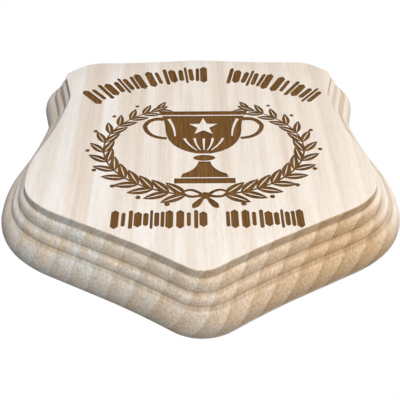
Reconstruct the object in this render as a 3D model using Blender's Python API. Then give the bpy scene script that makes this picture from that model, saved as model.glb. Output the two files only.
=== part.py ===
# Shield-shaped hardwood plaque with a moulded edge, built as one solid.
# The plaque hangs upright: +Z is up, the carved face looks along -Y and the flat back lies
# on the plane Y = 0. The origin is on the back, in the middle of the plaque's height.
import math

import bmesh
import bpy
from mathutils import Matrix, Vector

MM = 0.001

THICKNESS = 22.0        # the whole board
LAND = 0.1              # height of the widest line, so that no two of its rings fall together
MOULDING = 9.7          # width of the moulded edge, from the flat face to the outermost line
CENTRE_HEIGHT = 56.0    # the origin's height above the point where the flat face's tip lies
CHORD = 0.03            # how far a drawn edge may lie from its true arc

# Corners of the outermost outline on the right side, from the crest down to the tip.
# Each is (x, height, radius of the arc that rounds it).
CORNERS = [
    (0.0, 121.2, 56.0),      # crest
    (23.5, 119.4, 108.0),    # shallow dip beside the crest
    (44.5, 119.2, 19.5),     # shoulder
    (60.5, 105.8, 13.8),     # ear
    (55.8, 86.6, 6.4),       # notch under the ear
    (57.3, 72.6, 120.0),     # waist
    (64.8, 49.4, 45.5),      # belly
    (64.3, 29.1, 24.5),      # turn at the belly's foot
    (52.4, 18.3, 40.0),      # turn into the flank
    (21.2, 1.6, 240.0),      # long hollow flank down to the tip
    (0.0, -12.5, 17.0),      # tip
]

# The moulding, as distances out from the flat face's edge and depths below the face.
FILLET_TOP = (0.25, 0.10)
FILLET_FOOT = (0.75, 2.60)
BEAD_1 = ((0.95, 2.65), (2.95, 6.20))    # where the upper small bead starts and ends
BEAD_2 = ((3.30, 6.35), (5.60, 9.20))    # where the lower small bead starts and ends
GROOVE = (5.75, 9.40)
BIG_BEAD_RADIUS = 7.3
BIG_BEAD_CENTRE = (MOULDING - BIG_BEAD_RADIUS, 15.10)

# A keyhole in the back, cut by a T-shaped router bit, for a nail or a screw head.
KEY_ENTRY_HEIGHT = 26.0    # centre of the round entry above the origin
KEY_HEAD_RADIUS = 4.75
KEY_NECK_RADIUS = 2.5
KEY_RUN = 13.0             # how far the slot runs up from the entry
KEY_LIP = 3.0              # wood left behind the head
KEY_DEPTH = 9.0
KEY_SIDES = 32
CLEAR = 1.0                # how far a cutter reaches past what it opens


def arc_points(before, corner, after, radius):
    """The arc that rounds one corner, as points from its start to its end."""
    to_before = (before - corner).normalized()
    to_after = (after - corner).normalized()
    half = to_before.angle(to_after) / 2
    centre = corner + (to_before + to_after).normalized() * radius / math.sin(half)
    start = corner + to_before * radius / math.tan(half) - centre
    turn = (math.pi - 2 * half) * (1 if to_before.cross(to_after) < 0 else -1)
    steps = max(2, math.ceil(abs(turn) / (2 * math.acos(1 - CHORD / radius))))
    return [centre + Matrix.Rotation(turn * i / steps, 2) @ start for i in range(steps + 1)]


def shield_outline():
    """The outermost outline, mirrored from the right side and rounded at each corner."""
    right = [(Vector((x, z - CENTRE_HEIGHT)), r) for x, z, r in CORNERS]
    left = [(Vector((-p.x, p.y)), r) for p, r in reversed(right[1:-1])]
    corners = right + left
    points = []
    for i, (corner, radius) in enumerate(corners):
        before = corners[i - 1][0]
        after = corners[(i + 1) % len(corners)][0]
        points += arc_points(before, corner, after, radius)
    return points


def quarter(start, end, steps):
    """A small bead: level where it starts, upright where it ends."""
    wide, deep = end[0] - start[0], end[1] - start[1]
    angles = [math.pi / 2 * i / steps for i in range(steps + 1)]
    return [(start[0] + wide * math.sin(a), start[1] + deep * (1 - math.cos(a))) for a in angles]


def big_bead(first, last, steps):
    """Points on the large bead, by their angles below its outermost line, in degrees."""
    out, deep = BIG_BEAD_CENTRE
    angles = [math.radians(first + (last - first) * i / steps) for i in range(steps + 1)]
    return [(out + BIG_BEAD_RADIUS * math.cos(a), deep + BIG_BEAD_RADIUS * math.sin(a))
            for a in angles]


def moulding_profile():
    """The front profile from the outermost line in to the face, and the back one to the back."""
    # The large bead starts where it comes out of the lower groove.
    first = -math.degrees(math.acos((GROOVE[0] + 0.25 - BIG_BEAD_CENTRE[0]) / BIG_BEAD_RADIUS))
    last = math.degrees(math.asin((THICKNESS - LAND - BIG_BEAD_CENTRE[1]) / BIG_BEAD_RADIUS))
    front = [(0.0, 0.0), FILLET_TOP, FILLET_FOOT]
    front += quarter(*BEAD_1, 5) + quarter(*BEAD_2, 5) + [GROOVE] + big_bead(first, 0, 7)
    return front[::-1], big_bead(0, last, 6)


def inset_rings(bm, face, profile):
    """Insets one face again and again, so that the solid's edge takes the profile."""
    outward = 1 if face.normal.z > 0 else -1
    for (out, deep), (next_out, next_deep) in zip(profile, profile[1:]):
        bmesh.ops.inset_region(bm, faces=[face], use_boundary=True, use_even_offset=True,
                               thickness=out - next_out, depth=outward * (deep - next_deep))


def moulded_board(name):
    """The board as an object: the outline as a thin plate, then both sides stepped inward."""
    bm = bmesh.new()
    back = bm.faces.new([bm.verts.new((p.x, p.y, 0)) for p in shield_outline()])
    made = bmesh.ops.extrude_face_region(bm, geom=[back])["geom"]
    bmesh.ops.translate(bm, verts=[v for v in made if isinstance(v, bmesh.types.BMVert)],
                        vec=(0, 0, LAND))
    front = next(g for g in made if isinstance(g, bmesh.types.BMFace))
    bmesh.ops.recalc_face_normals(bm, faces=bm.faces)
    bm.normal_update()
    front_profile, back_profile = moulding_profile()
    inset_rings(bm, front, front_profile)
    inset_rings(bm, back, back_profile)
    bmesh.ops.recalc_face_normals(bm, faces=bm.faces)
    # From lying with its face up to hanging: the face turns to -Y and the back goes to Y = 0.
    bmesh.ops.translate(bm, verts=bm.verts, vec=(0, 0, -min(v.co.z for v in bm.verts)))
    bmesh.ops.transform(bm, verts=bm.verts,
                        matrix=Matrix.Scale(MM, 4) @ Matrix.Rotation(math.radians(90), 4, "X"))
    mesh = bpy.data.meshes.new(name)
    bm.to_mesh(mesh)
    bm.free()
    return bpy.data.objects.new(name, mesh)


def bit_path(name, radius, run, depth_from, depth_to):
    """A cutter for what one width of the router bit takes out of the back.

    It is a cylinder whose upper half is moved up by the run. Its sides are turned by half a
    side, so that none of its corners lies on the line between the halves.
    """
    bm = bmesh.new()
    turned = Matrix.Rotation(math.pi / KEY_SIDES, 4, "Z")
    bmesh.ops.create_cone(bm, cap_ends=True, segments=KEY_SIDES, radius1=radius * MM,
                          radius2=radius * MM, depth=(depth_to - depth_from) * MM, matrix=turned)
    bmesh.ops.translate(bm, verts=[v for v in bm.verts if v.co.y > 0], vec=(0, run * MM, 0))
    mesh = bpy.data.meshes.new(name)
    bm.to_mesh(mesh)
    bm.free()
    cutter = bpy.data.objects.new(name, mesh)
    # Turned so that it stands in the back and its run goes up.
    cutter.rotation_euler = (math.radians(90), 0, 0)
    cutter.location = (0, -(depth_from + depth_to) / 2 * MM, KEY_ENTRY_HEIGHT * MM)
    cutter.hide_render = True
    cutter.display_type = "WIRE"
    return cutter


def wood_material():
    material = bpy.data.materials.new("beech")
    material.use_nodes = True
    shader = material.node_tree.nodes["Principled BSDF"]
    shader.inputs["Base Color"].default_value = (0.76, 0.62, 0.47, 1)
    shader.inputs["Roughness"].default_value = 0.5
    return material


def main():
    for old in list(bpy.data.objects):
        bpy.data.objects.remove(old)
    plaque = bpy.data.collections.new("trophy_plaque")
    cutters = bpy.data.collections.new("cutters")
    bpy.context.scene.collection.children.link(plaque)
    bpy.context.scene.collection.children.link(cutters)

    board = moulded_board("plaque_board")
    board.data.materials.append(wood_material())
    plaque.objects.link(board)

    for cutter in (
        bit_path("cut_entry", KEY_HEAD_RADIUS, 0.0, -CLEAR, KEY_DEPTH),
        bit_path("cut_neck", KEY_NECK_RADIUS, KEY_RUN, -CLEAR, KEY_LIP + CLEAR),
        bit_path("cut_head", KEY_HEAD_RADIUS, KEY_RUN, KEY_LIP, KEY_DEPTH),
    ):
        cutters.objects.link(cutter)
        cut = board.modifiers.new(cutter.name, "BOOLEAN")
        cut.operation = "DIFFERENCE"
        cut.solver = "EXACT"
        cut.object = cutter


main()
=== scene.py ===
# %% [markdown]
# # A moulded trophy plaque in beech
# The plaque is one shield-shaped board of pale beech. Its edge was run past a router three
# times, and its face was engraved with a laser that scorches the wood brown. It hangs upright:
# +Z is up, the engraved face looks along -Y and the flat back lies on Y = 0.
# This script dresses the plain CAD board: the same shield, with a finer moulding, real shallow
# engraving and a wood that runs through the whole board.

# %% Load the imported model, which fixes the frame and the size
import math

import bmesh
import bpy
from mathutils import Matrix, Vector
from mathutils.geometry import delaunay_2d_cdt


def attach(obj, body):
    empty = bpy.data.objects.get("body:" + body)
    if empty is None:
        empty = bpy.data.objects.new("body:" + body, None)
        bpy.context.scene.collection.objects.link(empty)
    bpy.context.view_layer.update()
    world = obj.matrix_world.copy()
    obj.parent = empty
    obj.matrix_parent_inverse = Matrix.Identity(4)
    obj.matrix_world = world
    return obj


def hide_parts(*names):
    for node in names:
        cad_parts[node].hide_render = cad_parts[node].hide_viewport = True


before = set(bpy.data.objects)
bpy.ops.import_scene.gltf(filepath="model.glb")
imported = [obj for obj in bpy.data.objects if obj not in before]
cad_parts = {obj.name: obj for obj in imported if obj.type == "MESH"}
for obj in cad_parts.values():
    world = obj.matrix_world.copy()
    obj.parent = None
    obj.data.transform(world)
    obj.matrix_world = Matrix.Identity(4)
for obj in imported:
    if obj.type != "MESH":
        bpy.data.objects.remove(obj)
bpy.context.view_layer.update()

MM = 0.001

# %% [markdown]
# ## The shield's outline
# A joiner draws this outline with a few arcs: a low crest, round shoulders, a notch under each
# ear, a slim waist, a full belly and two hollow flanks that meet in the tip. It is kept here as
# the corners that the arcs round, because eleven corners with radii say more than hundreds of
# points, and a finer chord gives a smoother edge without touching them.

# %% The outline's corners and the arcs that round them
CENTRE_HEIGHT = 56.0    # the origin's height above the tip of the flat face
CHORD = 0.008           # how far a drawn edge may lie from its true arc
CORNERS = [             # x, height and radius, in mm, from the crest down to the tip
    (0.0, 121.2, 56.0), (23.5, 119.4, 108.0), (44.5, 119.2, 19.5), (60.5, 105.8, 13.8),
    (55.8, 86.6, 6.4), (57.3, 72.6, 120.0), (64.8, 49.4, 45.5), (64.3, 29.1, 24.5),
    (52.4, 18.3, 40.0), (21.2, 1.6, 240.0), (0.0, -12.5, 17.0),
]


def corner_arc(before, corner, after, radius):
    """Points along the arc that rounds one corner."""
    to_before = (before - corner).normalized()
    to_after = (after - corner).normalized()
    half = to_before.angle(to_after) / 2
    centre = corner + (to_before + to_after).normalized() * radius / math.sin(half)
    start = corner + to_before * radius / math.tan(half) - centre
    turn = (math.pi - 2 * half) * (1 if to_before.cross(to_after) < 0 else -1)
    steps = max(3, math.ceil(abs(turn) / (2 * math.acos(1 - CHORD / radius))))
    return [centre + Matrix.Rotation(turn * i / steps, 2) @ start for i in range(steps + 1)]


def shield_outline():
    """The outermost line of the shield, as 2-D points in mm around the origin."""
    right = [(Vector((x, z - CENTRE_HEIGHT)), r) for x, z, r in CORNERS]
    corners = right + [(Vector((-p.x, p.y)), r) for p, r in reversed(right[1:-1])]
    points = []
    for i, (corner, radius) in enumerate(corners):
        before, after = corners[i - 1][0], corners[(i + 1) % len(corners)][0]
        points += corner_arc(before, corner, after, radius)
    return points


outline = shield_outline()
print("outline points:", len(outline))

# %% [markdown]
# ## The moulding
# Three passes of a router left, from the face outwards: an upright fillet, a narrow ledge, two
# small beads with a groove under each, and one large bead that turns under to the back.
# The profile is a list of distances out from the face's edge and depths below the face.
# Insetting one face again and again along that profile works like the router itself: every
# step keeps the same distance from the outline, also round the tight notches.

# %% The moulding's sizes and its curved parts, in mm
THICKNESS = 22.0   # the whole board
MOULDING = 9.7     # from the face's edge out to the widest line
LAND = 0.1         # height of the widest line, so that no two of its rings fall together
BIG_RADIUS = 7.3
BIG_CENTRE = (MOULDING - BIG_RADIUS, 15.10)
BIG_START = 7.0    # where the large bead comes out of the groove above it
CUT_AT = (0.25, 0.75)    # where along each edge sanding cuts the corners off


def small_bead(start, end, steps):
    """A small bead: level where it starts, upright where it ends."""
    wide, deep = end[0] - start[0], end[1] - start[1]
    angles = [math.pi / 2 * i / steps for i in range(steps + 1)]
    return [(start[0] + wide * math.sin(a), start[1] + deep * (1 - math.cos(a))) for a in angles]


def hollow(start, end, steps):
    """A small groove's floor: upright where it starts, level where it ends."""
    return [(x, y) for y, x in small_bead(start[::-1], end[::-1], steps)]


def large_bead(first, last, steps):
    """Points round the large bead, by their angles below its widest line, in degrees."""
    angles = [math.radians(first + (last - first) * i / steps) for i in range(steps + 1)]
    return [(BIG_CENTRE[0] + BIG_RADIUS * math.cos(a), BIG_CENTRE[1] + BIG_RADIUS * math.sin(a))
            for a in angles]


def sanded(points):
    """The same line with every corner cut off once, as sanding leaves it."""
    cut = []
    for (x0, y0), (x1, y1) in zip(points, points[1:]):
        cut += [(x0 + (x1 - x0) * part, y0 + (y1 - y0) * part) for part in CUT_AT]
    return [points[0], *cut, points[-1]]


print("large bead:", 2 * BIG_RADIUS, "mm across, in a moulding", MOULDING, "mm wide")

# %% The whole profile, in front of the widest line and behind it
big_first = -math.degrees(math.acos((BIG_START - BIG_CENTRE[0]) / BIG_RADIUS))
big_last = math.degrees(math.asin((THICKNESS - LAND - BIG_CENTRE[1]) / BIG_RADIUS))
front_profile = sanded([(0.0, 0.0), (0.22, 0.05), (0.36, 0.30), (0.72, 2.45), (0.86, 2.65)]
                       + small_bead((1.00, 2.65), (2.85, 5.95), 7)
                       + hollow((2.89, 6.10), (3.28, 6.40), 3)
                       + small_bead((3.42, 6.38), (5.42, 8.95), 7)
                       + hollow((5.46, 9.08), (5.88, 9.34), 3) + [(6.45, 9.24)]
                       + large_bead(big_first, 0, 12))
back_profile = large_bead(0, big_last, 18)
print("profile steps:", len(front_profile), "in front and", len(back_profile), "behind")

# %% The board as one closed solid


def step_inward(bm, face, profile):
    """Insets a face along a profile, so that the edge takes the profile's shape."""
    outward = 1 if face.normal.z > 0 else -1
    for (out, deep), (next_out, next_deep) in zip(profile, profile[1:]):
        bmesh.ops.inset_region(bm, faces=[face], use_boundary=True, use_even_offset=True,
                               thickness=out - next_out, depth=outward * (deep - next_deep))


def moulded_board():
    """The board lying face up, in mm, with its back at height 0."""
    bm = bmesh.new()
    back = bm.faces.new([bm.verts.new((p.x, p.y, 0)) for p in outline])
    made = bmesh.ops.extrude_face_region(bm, geom=[back])["geom"]
    bmesh.ops.translate(bm, verts=[v for v in made if isinstance(v, bmesh.types.BMVert)],
                        vec=(0, 0, LAND))
    front = next(g for g in made if isinstance(g, bmesh.types.BMFace))
    bmesh.ops.recalc_face_normals(bm, faces=bm.faces)
    bm.normal_update()
    step_inward(bm, front, front_profile[::-1])
    step_inward(bm, back, back_profile)
    bmesh.ops.recalc_face_normals(bm, faces=bm.faces)
    bmesh.ops.translate(bm, verts=bm.verts, vec=(0, 0, -min(v.co.z for v in bm.verts)))
    return bm


board_bm = moulded_board()
print("board faces:", len(board_bm.faces))

# %% [markdown]
# ## The keyhole
# A plaque like this hangs on a nail. A T-shaped router bit plunges into the back and runs up,
# which leaves a round entry, a narrow neck and a wider channel behind it for the nail's head.
# A Boolean takes the bit's path out of the board, as the bit does.

# %% The keyhole, cut with the router bit's path
ENTRY_HEIGHT, RUN = 26.0, 13.0    # the entry's centre above the origin, and the way up from it
LIP, KEY_DEPTH = 3.0, 9.0         # the wood left behind the head, and the whole depth
HEAD_RADIUS, NECK_RADIUS = 4.75, 2.5
KEY_SIDES = 48
CLEAR = 1.0                       # how far a cutter reaches past what it opens


def bit_path(name, radius, run, level_from, level_to):
    """What one width of the bit takes out: a cylinder whose upper half is moved up by the run."""
    bm = bmesh.new()
    middle = (0, ENTRY_HEIGHT, (level_from + level_to) / 2)
    # Turned by half a side, so that no corner lies on the line between the two halves.
    bmesh.ops.create_cone(bm, cap_ends=True, segments=KEY_SIDES, radius1=radius, radius2=radius,
                          depth=level_to - level_from,
                          matrix=Matrix.Translation(middle)
                          @ Matrix.Rotation(math.pi / KEY_SIDES, 4, "Z"))
    bmesh.ops.translate(bm, verts=[v for v in bm.verts if v.co.y > ENTRY_HEIGHT], vec=(0, run, 0))
    mesh = bpy.data.meshes.new(name)
    bm.to_mesh(mesh)
    bm.free()
    return bpy.data.objects.new(name, mesh)


def cut_away(mesh, cutters):
    """The mesh with every cutter taken out of it."""
    holder = bpy.data.objects.new("uncut_board", mesh)
    bpy.context.collection.objects.link(holder)
    for cutter in cutters:
        bpy.context.collection.objects.link(cutter)
        cut = holder.modifiers.new(cutter.name, "BOOLEAN")
        cut.operation, cut.solver, cut.object = "DIFFERENCE", "EXACT", cutter
    shown = holder.evaluated_get(bpy.context.evaluated_depsgraph_get())
    result = bpy.data.meshes.new_from_object(shown)
    for used in [holder, *cutters]:
        bpy.data.objects.remove(used)
    return result


raw = bpy.data.meshes.new("raw_board")
board_bm.to_mesh(raw)
board_bm.free()
board_mesh = cut_away(raw, [
    bit_path("entry", HEAD_RADIUS, 0.0, -CLEAR, KEY_DEPTH),
    bit_path("neck", NECK_RADIUS, RUN, -CLEAR, LIP + CLEAR),
    bit_path("channel", HEAD_RADIUS, RUN, LIP, KEY_DEPTH),
])
print("faces with the keyhole:", len(board_mesh.polygons))

# %% [markdown]
# ## Marks for the engraving
# The engraving is a flat design, burnt a third of a millimetre deep. A design is a list of
# closed shapes in a painter's order: a later shape covers an earlier one, and a shape may be
# burnt or left bare, such as the vein of a leaf. One leaf, one berry and a few groups of upright
# strokes are drawn once, and Geometry Nodes repeat them along paths, because a wreath and a row
# are one mark and one rule.

# %% One helper for colours and one that adds a node, for every node tree in this file


def linear(hex_colour):
    """An sRGB hex colour as the linear colour that the shader needs."""
    channels = [int(hex_colour[i:i + 2], 16) / 255 for i in (1, 3, 5)]
    return [c / 12.92 if c <= 0.04045 else ((c + 0.055) / 1.055) ** 2.4 for c in channels] + [1.0]


def add(tree, kind, inputs=None, **settings):
    """Adds a node, gives it its settings, and feeds its inputs with values or with links.

    The setting "stops" is a colour ramp's positions and its colours, as sRGB hex values.
    """
    made = tree.nodes.new(kind)
    for i, (position, colour) in enumerate(settings.pop("stops", [])):
        ramp = made.color_ramp.elements
        stop = ramp[i] if i < len(ramp) else ramp.new(position)
        stop.position, stop.color = position, linear(colour)
    for name, value in settings.items():
        setattr(made, name, value)
    for name, value in (inputs or {}).items():
        if isinstance(value, bpy.types.NodeSocket):
            tree.links.new(value, made.inputs[name])
        else:
            made.inputs[name].default_value = value
    return made


print("middle grey in linear light:", round(linear("#808080")[0], 3))

# %% Flat shapes, as lists of 2-D points in mm
FULLNESS = 0.85       # below 1, a leaf is fuller than a sine
POINT_SHARE = 0.45    # how long a stroke's point is, in widths of the stroke


def lens(length, width, start=(0.0, 0.0), steps=9, fullest=0.45):
    """A leaf that points along +Y, with its widest place at a share of its length."""
    def half(t):
        u = t / fullest * 0.5 if t < fullest else 0.5 + (t - fullest) / (1 - fullest) * 0.5
        return width / 2 * math.sin(math.pi * u) ** FULLNESS
    ts = [i / steps for i in range(steps + 1)]
    right = [(start[0] + half(t), start[1] + length * t) for t in ts]
    left = [(2 * start[0] - x, y) for x, y in reversed(right[1:-1])]
    return right + left


def round_spot(x, y, radius, sides=14, squash=1.0):
    """A round shape, or a flattened one."""
    return [(x + radius * math.cos(2 * math.pi * i / sides),
             y + radius * squash * math.sin(2 * math.pi * i / sides)) for i in range(sides)]


def chisel_stroke(x, width, height):
    """An upright stroke with pointed ends, centred on its own height."""
    w, h, p = width / 2, height / 2, width * POINT_SHARE
    return [(x - w, -h + p), (x, -h), (x + w, -h + p), (x + w, h - p), (x, h), (x - w, h - p)]


def flat_mark(name, shapes):
    """A mark as a mesh: one face for each shape, and whether the shape is left bare."""
    mesh = bpy.data.meshes.new(name)
    points = [(x, y, 0.0) for shape, _ in shapes for x, y in shape]
    faces, first = [], 0
    for shape, _ in shapes:
        faces.append(list(range(first, first + len(shape))))
        first += len(shape)
    mesh.from_pydata(points, [], faces)
    flags = mesh.attributes.new("bare", "BOOLEAN", "FACE")
    for flag, (_, bare) in zip(flags.data, shapes):
        flag.value = bare
    return bpy.data.objects.new(name, mesh)


print("points in a leaf 9 mm long:", len(lens(9.0, 3.3)))

# %% The marks: a leaf with its vein, a berry and four groups of strokes
leaf = flat_mark("leaf", [(lens(9.0, 3.3), False), (lens(7.0, 0.42, (0, 1.0), 5), True)])
berry = flat_mark("berry", [(round_spot(0, 0, 0.95), False)])
STROKES = [    # x, width and height of each stroke in a group, for a row 10 mm high
    [(-1.30, 2.7, 10.0), (1.60, 1.4, 7.6)],
    [(-1.75, 1.3, 8.4), (0.55, 2.6, 10.0)],
    [(-1.85, 1.8, 7.2), (0.05, 1.0, 10.0), (1.85, 1.7, 7.8)],
    [(-1.45, 1.4, 10.0), (1.00, 2.7, 8.4)],
]
stroke_marks = bpy.data.collections.new("stroke_marks")
for i, group in enumerate(STROKES):
    stroke_marks.objects.link(flat_mark(f"strokes_{i}",
                                        [(chisel_stroke(*stroke), False) for stroke in group]))
leaf_marks = bpy.data.collections.new("leaf_marks")
leaf_marks.objects.link(leaf)
berry_marks = bpy.data.collections.new("berry_marks")
berry_marks.objects.link(berry)
print("stroke groups:", len(STROKES))

# %% The materials' names, so that the trees below can use them; their nodes come later
beech = bpy.data.materials.new("beech_planed_and_oiled")
burnt = bpy.data.materials.new("beech_scorched_by_laser")
print("materials:", beech.name, "and", burnt.name)

# %% A Geometry Nodes tree that sets marks along a path


def marks_on_path_tree():
    """Marks from a collection, spaced along a path, turned with it, with one place left out."""
    tree = bpy.data.node_groups.new("marks_on_path", "GeometryNodeTree")
    sockets = tree.interface
    sockets.new_socket("Path", in_out="INPUT", socket_type="NodeSocketGeometry")
    for name, kind in (("Marks", "Collection"), ("Count", "Int"), ("Left Out", "Int"),
                       ("Tilt", "Float"), ("First Size", "Float"), ("Last Size", "Float"),
                       ("Width", "Float"), ("Aside", "Float")):
        sockets.new_socket(name, in_out="INPUT", socket_type="NodeSocket" + kind)
    sockets.new_socket("Marks", in_out="OUTPUT", socket_type="NodeSocketGeometry")
    given = add(tree, "NodeGroupInput").outputs
    points = add(tree, "GeometryNodeCurveToPoints",
                 {"Curve": given["Path"], "Count": given["Count"]}, mode="COUNT")
    index = add(tree, "GeometryNodeInputIndex").outputs["Index"]
    kept = add(tree, "FunctionNodeCompare", {2: index, 3: given["Left Out"]},
               data_type="INT", operation="NOT_EQUAL")
    # The direction of the path at each point, and the turn that lays a mark along it.
    along = add(tree, "ShaderNodeSeparateXYZ", {0: points.outputs["Tangent"]})
    heading = add(tree, "ShaderNodeMath", {0: along.outputs["Y"], 1: along.outputs["X"]},
                  operation="ARCTAN2")
    turn = add(tree, "ShaderNodeMath", {0: heading.outputs[0], 1: given["Tilt"]},
               operation="ADD")
    rotation = add(tree, "ShaderNodeCombineXYZ", {"Z": turn.outputs[0]})
    # A step to the side of the path, for marks that don't start on it.
    side = add(tree, "ShaderNodeVectorMath", {0: points.outputs["Tangent"], 1: (0, 0, 1)},
               operation="CROSS_PRODUCT")
    offset = add(tree, "ShaderNodeVectorMath", {0: side.outputs[0], "Scale": given["Aside"]},
                 operation="SCALE")
    moved = add(tree, "GeometryNodeSetPosition",
                {"Geometry": points.outputs["Points"], "Offset": offset.outputs[0]})
    last = add(tree, "ShaderNodeMath", {0: given["Count"], 1: 1.0}, operation="SUBTRACT")
    grown = add(tree, "ShaderNodeMapRange",
                {"Value": index, "From Max": last.outputs[0],
                 "To Min": given["First Size"], "To Max": given["Last Size"]})
    wide = add(tree, "ShaderNodeMath", {0: grown.outputs[0], 1: given["Width"]},
               operation="MULTIPLY")
    size = add(tree, "ShaderNodeCombineXYZ",
               {"X": wide.outputs[0], "Y": grown.outputs[0], "Z": 1.0})
    marks = add(tree, "GeometryNodeCollectionInfo",
                {"Collection": given["Marks"], "Separate Children": True})
    # Steps of seven through the marks mix them without a random draw.
    stepped = add(tree, "ShaderNodeMath", {0: index, 1: 7.0}, operation="MULTIPLY")
    placed = add(tree, "GeometryNodeInstanceOnPoints",
                 {"Points": moved.outputs[0], "Selection": kept.outputs[0],
                  "Instance": marks.outputs[0], "Pick Instance": True,
                  "Instance Index": stepped.outputs[0], "Rotation": rotation.outputs[0],
                  "Scale": size.outputs[0]})
    real = add(tree, "GeometryNodeRealizeInstances", {"Geometry": placed.outputs[0]})
    stained = add(tree, "GeometryNodeSetMaterial", {"Geometry": real.outputs[0],
                                                    "Material": burnt})
    add(tree, "NodeGroupOutput", {"Marks": stained.outputs[0]})
    return tree


marks_on_path = marks_on_path_tree()
print("nodes that set marks on a path:", len(marks_on_path.nodes))

# %% Run the tree on a path


def set_marks(path, **values):
    """Runs the tree on a path of 2-D points and returns the marks as (points, bare) shapes."""
    curve = bpy.data.curves.new("path", "CURVE")
    spline = curve.splines.new("POLY")
    spline.points.add(len(path) - 1)
    for point, (x, y) in zip(spline.points, path):
        point.co = (x, y, 0, 1)
    holder = bpy.data.objects.new("path", curve)
    bpy.context.collection.objects.link(holder)
    modifier = holder.modifiers.new("marks", "NODES")
    modifier.node_group = marks_on_path
    given = {"Count": 1, "Left Out": -1, "Tilt": 0.0, "First Size": 1.0, "Last Size": 1.0,
             "Width": 1.0, "Aside": 0.0}
    given.update({name.replace("_", " "): value for name, value in values.items()})
    for item in marks_on_path.interface.items_tree:
        if item.in_out == "INPUT" and item.name in given:
            modifier[item.identifier] = given[item.name]
    shown = holder.evaluated_get(bpy.context.evaluated_depsgraph_get())
    mesh = bpy.data.meshes.new_from_object(shown)
    bare = mesh.attributes["bare"].data
    shapes = [([mesh.vertices[v].co.xy.to_tuple() for v in face.vertices], bare[face.index].value)
              for face in mesh.polygons]
    bpy.data.objects.remove(holder)
    return shapes


print("berries on a short path:", len(set_marks([(0, 0), (9, 0)], Marks=berry_marks, Count=3)))

# %% [markdown]
# ## The engraved design
# Two rows of plain upright strokes frame the design: one on an arc under the top edge, one
# straight above the tip. Between them stands a two-handled cup in a laurel wreath, the sign of
# any award. Drawing them as shapes rather than as bumps in a material gives the engraving real
# floors and walls. Distances are in mm from the tip of the flat face.

# %% The rows of strokes
ARC_CENTRE, ARC_RADIUS, ARC_HALF = (1.3, 41.0), 60.2, math.radians(40.0)
ARC_STEPS = 30    # on each side of the arc's middle
arc_path = [(ARC_CENTRE[0] + ARC_RADIUS * math.sin(ARC_HALF * (i / ARC_STEPS - 1)),
             ARC_CENTRE[1] + ARC_RADIUS * math.cos(ARC_HALF * (i / ARC_STEPS - 1)))
            for i in range(2 * ARC_STEPS + 1)]
# The place that a row leaves out is the gap in it.
marks = set_marks(arc_path, Marks=stroke_marks, Count=15, Left_Out=8, First_Size=1.12,
                  Last_Size=1.12, Width=0.90)
marks += set_marks([(-24.6, 21.2), (28.6, 21.2)], Marks=stroke_marks, Count=12, Left_Out=6,
                   First_Size=0.82, Last_Size=0.82, Width=1.06)
print("stroke shapes:", len(marks))

# %% The laurel wreath
WREATH_CENTRE, WREATH_WIDE, WREATH_HIGH = (1.2, 56.4), 33.0, 24.6
UPRIGHT = math.radians(-90)    # turns a mark, which is drawn along +Y, onto the path


def stem_band(path, first_width, last_width):
    """A closed strip along a path, whose width changes evenly from end to end."""
    left, right = [], []
    for i, point in enumerate(path):
        here = Vector(point)
        ahead = Vector(path[min(i + 1, len(path) - 1)]) - Vector(path[max(i - 1, 0)])
        across = Vector((-ahead.y, ahead.x)).normalized()
        half = (first_width + (last_width - first_width) * i / (len(path) - 1)) / 2
        left.append((here + across * half).to_tuple())
        right.append((here - across * half).to_tuple())
    return left + right[::-1]


def wreath_side(side):
    """One branch: a thin stem, and leaves and berries that grow from it on both sides."""
    path = [(WREATH_CENTRE[0] + side * WREATH_WIDE * math.cos(math.radians(a)),
             WREATH_CENTRE[1] + WREATH_HIGH * math.sin(math.radians(a)))
            for a in range(-92, 61, 4)]
    shapes = [(stem_band(path, 0.75, 0.45), False)]
    for lean, aside in ((34, 0.2), (-34, -0.2)):
        shapes += set_marks(path[3:], Marks=leaf_marks, Count=14, First_Size=1.0, Last_Size=0.72,
                            Tilt=UPRIGHT + math.radians(lean), Aside=aside)
    # One last leaf covers the stem's end. The path's two ends each get a leaf of two shapes, and
    # the first of them is dropped.
    shapes += set_marks(path[3:-1], Marks=leaf_marks, Count=2, First_Size=0.0, Last_Size=0.8,
                        Tilt=UPRIGHT)[2:]
    shapes += set_marks(path[5:-2], Marks=berry_marks, Count=8, First_Size=0.9, Last_Size=0.7,
                        Aside=5.3 * side)
    return shapes


wreath = wreath_side(1) + wreath_side(-1)
marks += wreath
print("wreath shapes:", len(wreath))

# %% Curves for the cup
CUP_FOOT = (1.2, 37.6)
STAR_WAIST = 0.40    # a star's inner corners, as a share of its radius


def both_sides(half_profile):
    """A shape that mirrors itself about an upright axis, from its right half going up."""
    return half_profile + [(-x, y) for x, y in reversed(half_profile)]


def curve_between(a, b, bow, steps=8):
    """Points from a to b that bow sideways by a share of their distance.

    The bow is a parabola, and the 4 makes its middle the full bow.
    """
    a, b = Vector(a), Vector(b)
    across = Vector(((b - a).y, -(b - a).x)) * bow
    return [(a.lerp(b, i / steps) + across * 4 * (i / steps) * (1 - i / steps)).to_tuple()
            for i in range(steps + 1)]


def star(x, y, radius, points=5):
    """A star that stands on two points."""
    return [(x + radius * (1 if i % 2 == 0 else STAR_WAIST) * math.sin(math.pi * i / points),
             y + radius * (1 if i % 2 == 0 else STAR_WAIST) * math.cos(math.pi * i / points))
            for i in range(2 * points)]


print("points in a star:", len(star(0, 0, 1)))

# %% The cup, from its base up


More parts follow.
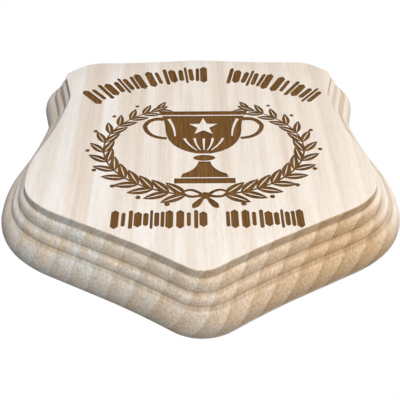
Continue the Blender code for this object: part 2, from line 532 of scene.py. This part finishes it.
def cup_shapes():
    """The base, stem, knop, bowl and rim, then both handles and what is left bare on the bowl."""
    bowl = (curve_between((2.2, 15.2), (12.6, 26.0), 0.16)
            + curve_between((12.9, 28.0), (14.2, 36.6), -0.03))
    shapes = [(both_sides([(9.6, 0.0), (9.6, 2.5)]), False),
              (both_sides([(7.6, 3.0)] + curve_between((7.0, 4.8), (1.9, 11.0), -0.14)), False),
              (round_spot(0, 12.9, 3.6, 20, 0.42), False),
              (both_sides(bowl), False),
              (both_sides([(15.0, 37.2), (15.4, 39.4)]), False)]
    for side in (1, -1):
        loop = [(side * x, y) for x, y in curve_between((13.6, 34.6), (19.8, 31.4), -0.22)
                + curve_between((20.0, 30.6), (12.4, 23.6), -0.20)]
        shapes.append((stem_band(loop, 1.9, 1.3), False))
        # Light falls on the bowl's sides, so long slivers of bare wood follow them.
        sliver = curve_between((side * 9.6, 24.8), (side * 11.9, 34.8), -0.05 * side)
        shapes.append((stem_band(sliver, 0.5, 1.1), True))
        for x in (2.4, 5.2):
            flute = curve_between((side * x * 0.45, 17.0), (side * x * 1.25, 23.6), 0.06 * side)
            shapes.append((stem_band(flute, 0.35, 0.9), True))
    shapes.append((stem_band([(0, 17.0), (0, 23.4)], 0.35, 0.9), True))
    shapes.append((star(0, 30.2, 5.2), True))
    return [([(x + CUP_FOOT[0], y + CUP_FOOT[1]) for x, y in shape], bare)
            for shape, bare in shapes]


cup = cup_shapes()
print("cup shapes:", len(cup))

# %% The bow, and the whole design in a painter's order


def bow_shapes():
    """The ribbon bow that ties the two branches at the bottom of the wreath."""
    x, y = WREATH_CENTRE[0], WREATH_CENTRE[1] - WREATH_HIGH
    shapes = []
    for side in (1, -1):
        def turned(shape, degrees):
            spin = Matrix.Rotation(math.radians(degrees), 2)
            return [(x + side * p.x, y + p.y) for p in (spin @ Vector(q) for q in shape)]
        shapes.append((turned(lens(7.6, 4.2, fullest=0.62), -76), False))
        shapes.append((turned(lens(4.6, 2.0, (0, 1.9), fullest=0.62), -76), True))
        shapes.append((turned(lens(7.0, 2.2, fullest=0.75), -146), False))
    return shapes + [(round_spot(x, y, 1.6), False)]


marks += bow_shapes() + cup
print("shapes in the whole design:", len(marks))

# %% [markdown]
# ## Burning the design into the face
# A constrained triangulation lays all shapes into the flat face at once and says which shapes
# each small triangle lies in. The last of them decides whether that triangle is burnt. The burnt
# triangles are then pushed into the board together, which gives every mark a floor and walls.

# %% Triangulate the face with the marks in it
BURN_DEPTH = 0.35
SAME_POINT = 1e-3    # mm: points closer than this are one point
CDT_SLACK = 1e-4     # mm: how far the triangulation may move a point onto a line


def counter_clockwise(shape):
    """The same shape, turned so that it runs counter-clockwise."""
    area = sum(a[0] * b[1] - b[0] * a[1] for a, b in zip(shape, shape[1:] + shape[:1]))
    return shape if area > 0 else shape[::-1]


def engraved_face(edge, design):
    """Triangles of the face as a bmesh in mm, and those of them that are burnt."""
    shapes = [edge] + [[(x, y - CENTRE_HEIGHT) for x, y in shape] for shape, _ in design]
    points, faces = [], []
    for shape in shapes:
        faces.append(list(range(len(points), len(points) + len(shape))))
        points += [Vector(p) for p in counter_clockwise(shape)]
    # The 1 asks for the triangles inside the shapes alone.
    verts, _, triangles, _, _, inside = delaunay_2d_cdt(points, [], faces, 1, CDT_SLACK)
    bm = bmesh.new()
    made = [bm.verts.new((p.x, p.y, THICKNESS)) for p in verts]
    burning = []
    for triangle, owners in zip(triangles, inside):
        face = bm.faces.new([made[i] for i in triangle])
        top = max(owners)
        if top > 0 and not design[top - 1][1]:
            burning.append(face)
    return bm, burning


top_face = max((p for p in board_mesh.polygons if p.normal.z > 0.99), key=lambda p: p.area)
edge = [board_mesh.vertices[v].co.xy.to_tuple() for v in top_face.vertices]
face_bm, burning = engraved_face(edge, marks)
print("face triangles:", len(face_bm.faces), "of them burnt:", len(burning))

# %% Push the burnt triangles in and join the face to the board


def push_in(bm, faces, depth):
    """Lowers a group of faces and grows walls round it."""
    made = bmesh.ops.extrude_face_region(bm, geom=faces)["geom"]
    floor = [g for g in made if isinstance(g, bmesh.types.BMFace)]
    lowered = {v for f in floor for v in f.verts}
    bmesh.ops.translate(bm, verts=list(lowered), vec=(0, 0, -depth))
    bmesh.ops.delete(bm, geom=[f for f in faces if f.is_valid], context="FACES")
    for face in bm.faces:
        levels = [v.co.z for v in face.verts]
        face.material_index = 1 if min(levels) < THICKNESS - depth / 2 else 0


push_in(face_bm, burning, BURN_DEPTH)
whole = bmesh.new()
whole.from_mesh(board_mesh)
whole.faces.ensure_lookup_table()
bmesh.ops.delete(whole, geom=[whole.faces[top_face.index]], context="FACES_ONLY")
for face in whole.faces:
    face.material_index = 0
face_part = bpy.data.meshes.new("face_part")
face_bm.to_mesh(face_part)
face_bm.free()
whole.from_mesh(face_part)
rim = [v for v in whole.verts if v.is_boundary]
bmesh.ops.remove_doubles(whole, verts=rim, dist=SAME_POINT)
bmesh.ops.recalc_face_normals(whole, faces=whole.faces)
print("open edges:", sum(e.is_boundary for e in whole.edges),
      "other faulty edges:", sum(not e.is_manifold and not e.is_boundary for e in whole.edges))

# %% Stand the board up, in metres, and shade its round parts smooth
CREASE = math.radians(24)    # edges sharper than this stay crisp
whole.transform(Matrix.Scale(MM, 4) @ Matrix.Rotation(math.radians(90), 4, "X"))
plaque_mesh = bpy.data.meshes.new("engraved_plaque")
whole.to_mesh(plaque_mesh)
whole.free()
plaque_mesh.materials.append(beech)
plaque_mesh.materials.append(burnt)
plaque_mesh.shade_smooth()
plaque_mesh.set_sharp_from_angle(angle=CREASE)
plaque = bpy.data.objects.new("engraved_plaque", plaque_mesh)
bpy.context.collection.objects.link(plaque)
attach(plaque, "root")
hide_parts("plaque_board")
print("plaque triangles:", sum(len(p.vertices) - 2 for p in plaque_mesh.polygons))

# %% [markdown]
# ## Beech
# Beech is a pale, even wood with a faint pink cast. It has fine straight grain, soft yearly rings,
# and thousands of small rays, which show as short brown dashes along the grain and as specks on
# the end grain. The grain runs up the shield here. All of it is worked out in the board's own
# space, so that a ring that meets the face goes on over the moulding. Painting the pattern on
# each surface would be quicker, but the rings would then break at every edge.
#
# The board was planed and moulded, and then got a thin clear coat, such as oil. That leaves a
# soft sheen that is a little duller where the fibre is open, and end grain darker than long grain.

# %% The beech's sizes
RING_SPACING = 5.6      # mm: the wide rings of a tree that grew fast, as the flanks show them
PITH_RIGHT, PITH_BEHIND = 150.0, 75.0    # mm: the middle of the tree lies outside the board
HEART_ENDS, SAP_STARTS = 145.0, 205.0    # mm from the pith: tan heartwood, then greyer sapwood
# Fibres and rays are a tenth of a millimetre wide on real beech, and the specks not much more.
# They are drawn four to seven times as coarse here, because finer ones vanish in the picture.
FIBRE, RAY, SPECK = 0.7, 0.42, 0.65      # mm
CLOUD, PATCH = 6.0, 5.0                  # mm: soft changes of tone, as wide as on real boards
WAVES_PER_UNIT = 20 / math.tau           # how many rings a Wave node draws at scale 1
RING_STRETCH, DRAWN, SHORT, BROAD = 0.10, 0.04, 0.18, 0.5    # how far each is drawn out, along Z


def per_metre(size_mm):
    """The scale of a pattern whose repeats are this long, for coordinates in metres."""
    return 1.0 / (size_mm * MM)


print("rings across the board:", round(2 * max(p.x for p in outline) / RING_SPACING))

# %% The beech's patterns


def wood_patterns(tree):
    """Rings, fibre and other patterns through the board, as sockets by name."""
    place = add(tree, "ShaderNodeTexCoord").outputs["Object"]
    # Rings are circles round the pith, which lies to the right and a little behind.
    pith = add(tree, "ShaderNodeMapping",
               {"Vector": place, "Location": (-PITH_RIGHT * MM, -PITH_BEHIND * MM, 0.0),
                "Scale": (1.0, 1.0, RING_STRETCH)})
    rings = add(tree, "ShaderNodeTexWave",
                {"Vector": pith.outputs[0], "Scale": per_metre(RING_SPACING) / WAVES_PER_UNIT,
                 "Distortion": 3.4, "Detail": 2.0, "Detail Scale": 0.5,
                 "Detail Roughness": 0.6},
                wave_type="RINGS", rings_direction="Z", wave_profile="SAW")
    # How far out from the pith a point lies: 0 in the heartwood, 1 in the sapwood.
    level = add(tree, "ShaderNodeVectorMath", {0: pith.outputs[0], 1: (1.0, 1.0, 0.0)},
                operation="MULTIPLY")
    out = add(tree, "ShaderNodeVectorMath", {0: level.outputs[0]}, operation="LENGTH")
    sapwood = add(tree, "ShaderNodeMapRange",
                  {"Value": out.outputs["Value"], "From Min": HEART_ENDS * MM,
                   "From Max": SAP_STARTS * MM})
    drawn, short, broad = (
        add(tree, "ShaderNodeMapping", {"Vector": place, "Scale": (1.0, 1.0, share)})
        for share in (DRAWN, SHORT, BROAD))
    kinds = {"fibre": (drawn, FIBRE, 5.0), "cloud": (drawn, CLOUD, 2.0), "rays": (short, RAY, 1.0),
             "speck": (short, SPECK, 3.0), "patch": (broad, PATCH, 3.0)}
    found = {name: add(tree, "ShaderNodeTexNoise",
                       {"Vector": space.outputs[0], "Scale": per_metre(size), "Detail": detail,
                        "Roughness": 0.6}).outputs["Fac"]
             for name, (space, size, detail) in kinds.items()}
    apart = add(tree, "ShaderNodeSeparateXYZ", {0: place})
    return {"rings": rings.outputs["Fac"], "sapwood": sapwood.outputs[0],
            "depth": apart.outputs["Y"], "height": apart.outputs["Z"], **found}


beech.use_nodes = True
wood = wood_patterns(beech.node_tree)
print("patterns in the beech:", ", ".join(wood))

# %% [markdown]
# ### The beech's colours
# Every colour below is made of ramps on the patterns, multiplied over each other, because dark
# lines and specks only ever darken what lies under them. In a Mix node for colours, 0 is the
# factor and 6 and 7 are the colours.

# %% End grain and long grain


def end_grain_colour(tree, speck):
    """End grain shows its rings: tan ones in the heartwood at the right, and greyer, cloudier
    ones in the sapwood at the left."""
    heart = add(tree, "ShaderNodeValToRGB", {"Fac": wood["rings"]},
                stops=[(0.0, "#EED3AF"), (0.50, "#E1C097"), (0.88, "#D2AE83"), (1.0, "#ECD0AB")])
    sap = add(tree, "ShaderNodeValToRGB", {"Fac": wood["patch"]},
              stops=[(0.36, "#F1F5F2"), (0.50, "#F5F2EA"), (0.64, "#F7E9D4")])
    lines = add(tree, "ShaderNodeValToRGB", {"Fac": wood["rings"]},
                stops=[(0.0, "#FFFFFF"), (0.5, "#F7F3EC"), (0.88, "#E9E2D8"), (1.0, "#FFFFFF")])
    sap = add(tree, "ShaderNodeMix", {0: 0.8, 6: sap.outputs[0], 7: lines.outputs[0]},
              data_type="RGBA", blend_type="MULTIPLY")
    both = add(tree, "ShaderNodeMix", {0: wood["sapwood"], 6: heart.outputs[0],
                                       7: sap.outputs[2]}, data_type="RGBA")
    return add(tree, "ShaderNodeMix", {0: 0.85, 6: both.outputs[2], 7: speck.outputs[0]},
               data_type="RGBA", blend_type="MULTIPLY").outputs[2]


def long_grain_colour(tree, speck):
    """Long grain, on the face and the sides, is pale, and its rings are only faint streaks."""
    flat = add(tree, "ShaderNodeValToRGB", {"Fac": wood["rings"]},
               stops=[(0.0, "#F8EFE3"), (0.6, "#F5ECE0"), (0.92, "#F1E6D9"), (1.0, "#F8EEE2")])
    cloud = add(tree, "ShaderNodeValToRGB", {"Fac": wood["cloud"]},
                stops=[(0.36, "#F6F2EE"), (0.64, "#FFFDFB")])
    flat = add(tree, "ShaderNodeMix", {0: 1.0, 6: flat.outputs[0], 7: cloud.outputs[0]},
               data_type="RGBA", blend_type="MULTIPLY")
    # The sapwood's long grain has whiter streaks.
    pale = add(tree, "ShaderNodeMapRange", {"Value": wood["cloud"], "From Min": 0.42,
                                            "From Max": 0.60, "To Min": 0.10, "To Max": 0.85})
    pale = add(tree, "ShaderNodeMath", {0: pale.outputs[0], 1: wood["sapwood"]},
               operation="MULTIPLY")
    flat = add(tree, "ShaderNodeMix", {0: pale.outputs[0], 6: flat.outputs[2],
                                       7: linear("#FCF9F4")}, data_type="RGBA")
    return add(tree, "ShaderNodeMix", {0: 0.12, 6: flat.outputs[2], 7: speck.outputs[0]},
               data_type="RGBA", blend_type="MULTIPLY").outputs[2]


def grain_colours(tree):
    """Both colours, with the same specks in them."""
    speck = add(tree, "ShaderNodeValToRGB", {"Fac": wood["speck"]},
                stops=[(0.36, "#DBD6D0"), (0.62, "#FFFFFF")])
    return end_grain_colour(tree, speck), long_grain_colour(tree, speck)


end_grain, long_grain = grain_colours(beech.node_tree)
print("nodes so far:", len(beech.node_tree.nodes))

# %% Where the surface cuts across the fibres, and painted shade on the flanks' bead crowns
# The flanks' bead crowns get painted shade between these heights, below the face's skin and above
# the back's.
FACE_SKIN, BACK_SKIN = (0.1, 0.6), (0.1, 0.6)    # mm below the face and above the back
FLANK_TOP, FLANK_FOOT = -20.0, -34.0             # mm: the flanks begin between these heights


def end_grain_and_crown_shade(tree):
    """1 where the board shows end grain or where the flanks' bead crowns get painted shade, 0
    elsewhere.
    """
    # It shows where the surface looks along the grain, which is up or down.
    facing = add(tree, "ShaderNodeTexCoord")
    facing = add(tree, "ShaderNodeSeparateXYZ", {0: facing.outputs["Normal"]})
    along = add(tree, "ShaderNodeMath", {0: facing.outputs["Z"]}, operation="ABSOLUTE")
    looks = add(tree, "ShaderNodeMapRange", {"Value": along.outputs[0], "From Min": 0.12,
                                             "From Max": 0.70})
    # On the flanks the beads' crowns get the end grain's darker colour as well, which is painted
    # shade under the fillet and the bead above. The flat face and the flat back don't.
    flank = add(tree, "ShaderNodeMapRange", {"Value": wood["height"], "From Min": FLANK_TOP * MM,
                                             "From Max": FLANK_FOOT * MM})
    below = add(tree, "ShaderNodeMapRange",
                {"Value": wood["depth"], "From Min": -(THICKNESS - FACE_SKIN[0]) * MM,
                 "From Max": -(THICKNESS - FACE_SKIN[1]) * MM})
    above = add(tree, "ShaderNodeMapRange", {"Value": wood["depth"], "From Min": -BACK_SKIN[0] * MM,
                                             "From Max": -BACK_SKIN[1] * MM})
    between = add(tree, "ShaderNodeMath", {0: above.outputs[0], 1: below.outputs[0]},
                  operation="MULTIPLY")
    painted_crown_shade = add(tree, "ShaderNodeMath", {0: flank.outputs[0], 1: between.outputs[0]},
                operation="MULTIPLY")
    return add(tree, "ShaderNodeMath", {0: looks.outputs[0], 1: painted_crown_shade.outputs[0]},
               operation="MAXIMUM").outputs[0]


end_grain_and_crown_shade_share = end_grain_and_crown_shade(beech.node_tree)
print("the flanks begin", -FLANK_TOP, "mm below the origin")

# %% Streaks, rays and painted shade in the fillet and grooves, then sheen and bump
# Painted shade: this ramp darkens the upright fillet and the two grooves by their depth below the
# face.
PAINTED_GROOVE_SHADE = [    # place in the front half of the thickness, from the face, and the tone there
    (0.01, "#FFFFFF"), (0.03, "#E6E4E1"), (0.22, "#DFDDD9"), (0.26, "#FFFFFF"),    # fillet
    (0.49, "#FFFFFF"), (0.57, "#DAD5CD"), (0.60, "#FFFFFF"),                       # upper groove
    (0.76, "#FFFFFF"), (0.84, "#DAD5CD"), (0.87, "#FFFFFF"),                       # lower groove
]
BUMP = 0.1    # mm: how far the open fibre stands above the rest


def finish_beech(tree):
    """Puts the colours together and joins them, the sheen and the bump to the shader."""
    shader = tree.nodes["Principled BSDF"]
    # End grain takes the end grain's colour, and on the flanks' bead crowns the same colour is
    # painted shade.
    base = add(tree, "ShaderNodeMix", {0: end_grain_and_crown_shade_share, 6: long_grain, 7: end_grain},
               data_type="RGBA")
    streak = add(tree, "ShaderNodeValToRGB", {"Fac": wood["fibre"]},
                 stops=[(0.32, "#EFEAE5"), (0.58, "#FFFFFF")])
    base = add(tree, "ShaderNodeMix", {0: 0.45, 6: base.outputs[2], 7: streak.outputs[0]},
               data_type="RGBA", blend_type="MULTIPLY")
    rays = add(tree, "ShaderNodeMapRange", {"Value": wood["rays"], "From Min": 0.60,
                                            "From Max": 0.74, "To Max": 0.14})
    base = add(tree, "ShaderNodeMix", {0: rays.outputs[0], 6: base.outputs[2],
                                       7: linear("#A9825C")}, data_type="RGBA")
    # Painted shade: the upright fillet and the foot of each small bead are a tone darker, where
    # shade falls in them.
    deep = add(tree, "ShaderNodeMapRange", {"Value": wood["depth"], "From Min": -THICKNESS * MM,
                                            "From Max": -THICKNESS / 2 * MM})
    painted_groove_shade = add(tree, "ShaderNodeValToRGB", {"Fac": deep.outputs[0]}, stops=PAINTED_GROOVE_SHADE)
    base = add(tree, "ShaderNodeMix", {0: 1.0, 6: base.outputs[2], 7: painted_groove_shade.outputs[0]},
               data_type="RGBA", blend_type="MULTIPLY")
    tree.links.new(base.outputs[2], shader.inputs["Base Color"])
    # The clear coat's soft sheen, duller where the fibre is open.
    gloss = add(tree, "ShaderNodeMapRange", {"Value": wood["fibre"], "To Min": 0.46,
                                             "To Max": 0.60})
    tree.links.new(gloss.outputs[0], shader.inputs["Roughness"])
    shader.inputs["IOR"].default_value = 1.45
    grain = add(tree, "ShaderNodeBump", {"Height": wood["fibre"], "Strength": 0.35,
                                         "Distance": BUMP * MM})
    tree.links.new(grain.outputs[0], shader.inputs["Normal"])


finish_beech(beech.node_tree)
print("beech nodes:", len(beech.node_tree.nodes))

# %% [markdown]
# ## Scorched beech
# The laser browns the wood and leaves it dull, because what it burnt is a thin dry char that
# scatters the light. The early wood burns a little more than the late wood, so the fibre still
# shows in the brown. The same patterns as in the beech keep the fibre in line with it.

# %% The scorched beech's nodes


def dress_burnt():
    """Three browns along the fibre, with almost no sheen."""
    burnt.use_nodes = True
    tree = burnt.node_tree
    shader = tree.nodes["Principled BSDF"]
    fibre = wood_patterns(tree)["fibre"]
    base = add(tree, "ShaderNodeValToRGB", {"Fac": fibre},
               stops=[(0.3, "#583A12"), (0.52, "#744F20"), (0.75, "#8A6432")])
    tree.links.new(base.outputs[0], shader.inputs["Base Color"])
    shader.inputs["Roughness"].default_value = 0.85
    shader.inputs["IOR"].default_value = 1.4
    rough = add(tree, "ShaderNodeBump", {"Height": fibre, "Strength": 0.4, "Distance": BUMP * MM})
    tree.links.new(rough.outputs[0], shader.inputs["Normal"])


dress_burnt()
print("scorched beech nodes:", len(burnt.node_tree.nodes))

# %% [markdown]
# ## Camera, lamps and floor
# The picture looks at the plaque from in front of it and below its tip, so that the tip is near
# and the crest far away, as if the plaque lay on a table with its tip towards the viewer. The
# camera's place and its three turns are typed in, because they were worked out once from the
# plaque's outline.
#
# The light is soft. A large lamp stands in front of the face. One at the right makes the moulding
# brighter and warmer on that side, and two low ones light the flanks from the tip's side. A faint
# cool one behind and below picks out the turn of the large bead, and the last one lights the back,
# which only the other views show.

# %% The camera
CAMERA_AT = Vector((-3.01, -171.71, -197.62)) * MM
PITCH, HEADING, ROLL = 0.71804, 0.0150, 0.0027    # radians
LENS, SENSOR = 67.5, 36.0                         # mm
ahead = Vector((math.sin(HEADING) * math.cos(PITCH), math.sin(PITCH),
                math.cos(HEADING) * math.cos(PITCH)))
right = Vector((math.cos(HEADING), 0, -math.sin(HEADING)))
above = right.cross(ahead)
rolled = math.cos(ROLL) * right + math.sin(ROLL) * above
above = rolled.cross(ahead)
camera = bpy.data.objects.new("camera", bpy.data.cameras.new("camera"))
camera.data.lens, camera.data.sensor_width = LENS, SENSOR
camera.data.clip_start = 0.005
camera.matrix_world = Matrix((rolled, above, -ahead)).transposed().to_4x4()
camera.matrix_world.translation = CAMERA_AT
bpy.context.collection.objects.link(camera)
bpy.context.scene.camera = camera
bpy.context.scene.view_settings.view_transform = "Standard"
print("camera to the plaque's middle:", round(CAMERA_AT.length / MM), "mm")

# %% The lamps: place in metres, size in metres, watts and colour
LAMPS = {
    "front_lamp": ((0.20, -0.80, 0.15), 0.6, 2.6, "#FFFCF9"),
    "right_lamp": ((0.80, -0.20, 0.28), 0.4, 2.70, "#FFFCF6"),
    "low_lamp": ((0.08, -0.63, -0.50), 0.4, 0.95, "#FFFCFA"),
    "near_lamp": ((0.09, -0.44, -0.26), 0.3, 1.30, "#FAFAFF"),
    "low_back_lamp": ((-0.24, 0.42, -0.55), 0.4, 0.50, "#C8D8FF"),
    "wall_lamp": ((0.25, 0.85, 0.35), 0.6, 3.0, "#FFFCFA"),
}


def soft_lamp(name, at, size, watts, colour):
    """A square lamp that faces the plaque's middle."""
    lamp = bpy.data.lights.new(name, "AREA")
    lamp.shape, lamp.size = "SQUARE", size
    lamp.energy, lamp.color = watts, linear(colour)[:3]
    holder = bpy.data.objects.new(name, lamp)
    holder.location = at
    holder.rotation_euler = (-Vector(at)).to_track_quat("-Z", "Y").to_euler()
    bpy.context.collection.objects.link(holder)


for name, lamp in LAMPS.items():
    soft_lamp(name, *lamp)
print("lamps:", len(LAMPS), "with", round(sum(lamp[2] for lamp in LAMPS.values()), 1), "W in all")

# %% The white room
# It looks white behind the plaque but lends it only about an eighth of that as light, so that
# the beads keep their shade.
ROOM_LIGHT = 0.13
room = bpy.data.worlds.new("white_room")
room.use_nodes = True
walls = room.node_tree.nodes["Background"].inputs
walls["Color"].default_value = linear("#FFFFFF")
seen = add(room.node_tree, "ShaderNodeLightPath").outputs["Is Camera Ray"]
strength = add(room.node_tree, "ShaderNodeMapRange", {"Value": seen, "To Min": ROOM_LIGHT})
room.node_tree.links.new(strength.outputs[0], walls["Strength"])
bpy.context.scene.world = room
print("room light:", ROOM_LIGHT)

# %% The floor
# It lies well below the plaque and out of the picture's view. The lamps are too small to light so
# large a floor, so it looks a little brighter than they make it, as the room does.
FLOOR_AT, FLOOR_HALF, FLOOR_GLOW = -0.9, 3.0, 0.65
floor_mesh = bpy.data.meshes.new("floor")
floor_mesh.from_pydata([(x * FLOOR_HALF, y * FLOOR_HALF, FLOOR_AT)
                        for x, y in ((-1, -1), (1, -1), (1, 1), (-1, 1))], [], [(0, 1, 2, 3)])
floor = bpy.data.objects.new("floor", floor_mesh)
paint = bpy.data.materials.new("pale_floor_paint")
paint.use_nodes = True
coat = paint.node_tree.nodes["Principled BSDF"].inputs
coat["Base Color"].default_value = linear("#E9E7E4")
coat["Roughness"].default_value = 0.8
coat["Emission Color"].default_value = linear("#E9E7E4")
seen = add(paint.node_tree, "ShaderNodeLightPath").outputs["Is Camera Ray"]
glow = add(paint.node_tree, "ShaderNodeMapRange", {"Value": seen, "To Max": FLOOR_GLOW})
paint.node_tree.links.new(glow.outputs[0], coat["Emission Strength"])
floor_mesh.materials.append(paint)
bpy.context.collection.objects.link(floor)
print("floor:", 2 * FLOOR_HALF, "m wide, at height", FLOOR_AT)
